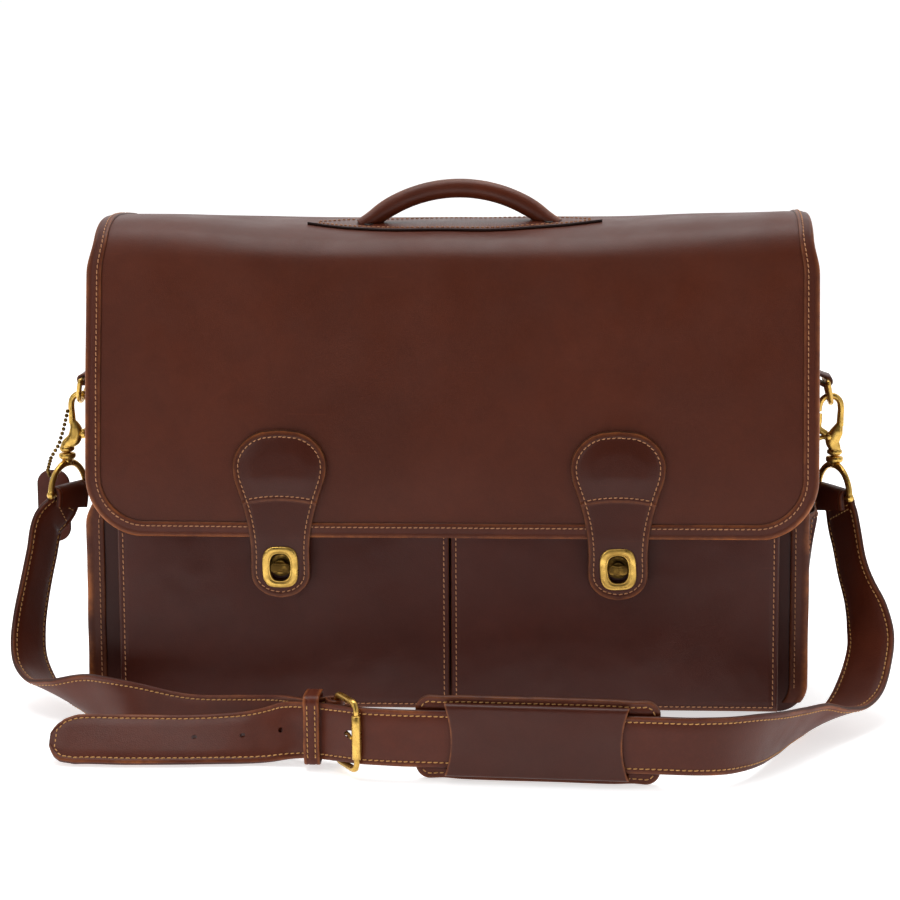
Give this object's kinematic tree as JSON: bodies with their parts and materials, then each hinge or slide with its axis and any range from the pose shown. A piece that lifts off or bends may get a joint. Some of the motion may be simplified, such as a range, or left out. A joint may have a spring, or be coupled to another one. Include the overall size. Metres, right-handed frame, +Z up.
{
  "type": "leather briefcase",
  "caption": "Leather flap briefcase with front pockets under the flap, turn-lock tabs, rolled top handle and a clip-on shoulder strap with pad and buckle.",
  "frame": {"origin": "middle of the base, on the surface that the bag stands on", "axes": "+X along the width towards the right as seen from the front, +Y to the back, +Z up"},
  "size_m": [0.5353, 0.2765, 0.3148],
  "materials": {
    "leather": "satin",
    "leather_dark": "satin",
    "leather_edge": "satin",
    "brass": "polished",
    "brass_aged": "satin",
    "zip_fabric": "matte"
  },
  "bodies": {
    "bag": {"back_panel": "leather", "front_panel": "leather", "bottom_panel": "leather", "gusset_left": "leather", "gusset_right": "leather", "divider_panel": "leather_dark", "front_panel_bindings": "leather_edge", "gusset_cover_left": "leather", "gusset_cover_right": "leather", "zip_tape_front": "zip_fabric", "zip_tape_rear": "zip_fabric", "zip_coil_front": "brass_aged", "zip_coil_rear": "brass_aged", "zip_end_stops": "brass_aged", "zip_side_tapes": "zip_fabric", "pocket_left_front": "leather", "pocket_left_gusset": "leather", "pocket_right_front": "leather", "pocket_right_gusset": "leather", "lock_post_left": "brass_aged", "lock_post_right": "brass_aged", "lock_washers": "brass_aged", "ring_chape_left": "leather", "ring_chape_right": "leather"},
    "flap_top": {"flap_top_panel": "leather", "flap_top_bindings": "leather_edge", "handle_patch": "leather"},
    "flap_front": {"flap_front_panel": "leather", "flap_front_binding": "leather_edge", "tab_left": "leather", "tab_right": "leather", "lock_plate_left": "brass", "lock_plate_right": "brass", "lock_backings": "brass_aged"},
    "handle": {"handle_grip": "leather", "handle_ends": "leather"},
    "knob_left": {"lock_knob_left": "brass_aged"},
    "knob_right": {"lock_knob_right": "brass_aged"},
    "zip_slider": {"zip_slider": "brass_aged", "zip_pull": "brass_aged"},
    "ring_left": {"d_ring_left": "brass"},
    "ring_right": {"d_ring_right": "brass"},
    "strap": {"strap_long": "leather", "strap_short": "leather", "strap_eye_left": "brass", "strap_eye_right": "brass", "strap_keeper": "leather", "bead_chain": "brass_aged"},
    "hook_left": {"hook_left": "brass"},
    "hook_right": {"hook_right": "brass"},
    "gate_left": {"hook_gate_left": "brass"},
    "gate_right": {"hook_gate_right": "brass"},
    "buckle": {"buckle_frame": "brass"},
    "roller": {"buckle_roller": "brass"},
    "prong": {"buckle_prong": "brass"},
    "shoulder_pad": {"shoulder_pad": "leather", "pad_sleeve": "leather"},
    "hang_tag": {"hang_tag": "leather"}
  },
  "joints": [
    {"name": "flap_rear_hinge", "type": "hinge", "parent": "bag", "child": "flap_top", "pos_m": [0, 0.0626, 0.2846], "axis": [1, 0, 0], "range_deg": [-180, 0]},
    {"name": "flap_front_fold", "type": "hinge", "parent": "flap_top", "child": "flap_front", "pos_m": [0, -0.042, 0.2846], "axis": [1, 0, 0], "range_deg": [-100, 0]},
    {"name": "handle_tilt", "type": "hinge", "parent": "flap_top", "child": "handle", "pos_m": [0, -0.007, 0.2934], "axis": [1, 0, 0], "range_deg": [-50, 70]},
    {"name": "lock_left_turn", "type": "hinge", "parent": "bag", "child": "knob_left", "pos_m": [-0.0997, -0.084, 0.0916], "axis": [0, 1, 0], "range_deg": [0, 90]},
    {"name": "lock_right_turn", "type": "hinge", "parent": "bag", "child": "knob_right", "pos_m": [0.0997, -0.084, 0.0916], "axis": [0, 1, 0], "range_deg": [0, 90]},
    {"name": "zip_slide", "type": "slide", "parent": "bag", "child": "zip_slider", "axis": [1, 0, 0], "range_m": [-0.355, 0]},
    {"name": "ring_left_swing", "type": "hinge", "parent": "bag", "child": "ring_left", "pos_m": [-0.231, 0, 0.192], "axis": [0, 1, 0], "range_deg": [-1.5, 4]},
    {"name": "ring_right_swing", "type": "hinge", "parent": "bag", "child": "ring_right", "pos_m": [0.2255, 0, 0.192], "axis": [0, 1, 0], "range_deg": [-4, 4]},
    {"name": "strap_swing", "type": "hinge", "parent": "bag", "child": "strap", "pos_m": [0, 0, 0.192], "axis": [1, 0, 0], "range_deg": [-55, 0]},
    {"name": "hook_left_swivel", "type": "hinge", "parent": "strap", "child": "hook_left", "pos_m": [-0.244, 0, 0.143], "axis": [0, 0, 1], "range_deg": [-4, 4]},
    {"name": "hook_right_swivel", "type": "hinge", "parent": "strap", "child": "hook_right", "pos_m": [0.2315, 0, 0.143], "axis": [0, 0, 1], "range_deg": [-4, 4]},
    {"name": "gate_left_press", "type": "hinge", "parent": "hook_left", "child": "gate_left", "pos_m": [-0.23301, 0, 0.157], "axis": [0, 1, 0], "range_deg": [-22, 0], "stiffness_Nm_per_rad": 0.02, "springref_deg": 11.46},
    {"name": "gate_right_press", "type": "hinge", "parent": "hook_right", "child": "gate_right", "pos_m": [0.22751, 0, 0.157], "axis": [0, 1, 0], "range_deg": [0, 22], "stiffness_Nm_per_rad": 0.02, "springref_deg": -11.46},
    {"name": "buckle_swing", "type": "hinge", "parent": "strap", "child": "buckle", "pos_m": [-0.056, -0.1814, 0.0235], "axis": [0, 0, 1], "range_deg": [-12, 0]},
    {"name": "roller_spin", "type": "hinge", "parent": "buckle", "child": "roller", "pos_m": [-0.0428, -0.2034, 0.0235], "axis": [0, 0, 1], "continuous": true},
    {"name": "prong_swing", "type": "hinge", "parent": "strap", "child": "prong", "pos_m": [-0.056, -0.1814, 0.0235], "axis": [0, 0, 1], "range_deg": [-4, 0]},
    {"name": "pad_slide", "type": "slide", "parent": "strap", "child": "shoulder_pad", "axis": [0.9981, -0.0619, 0], "range_m": [-0.014, 0.014]},
    {"name": "tag_swing", "type": "hinge", "parent": "strap", "child": "hang_tag", "pos_m": [-0.257, 0.0151, 0.125], "axis": [1, 0, 0], "range_deg": [0, 30]}
  ]
}
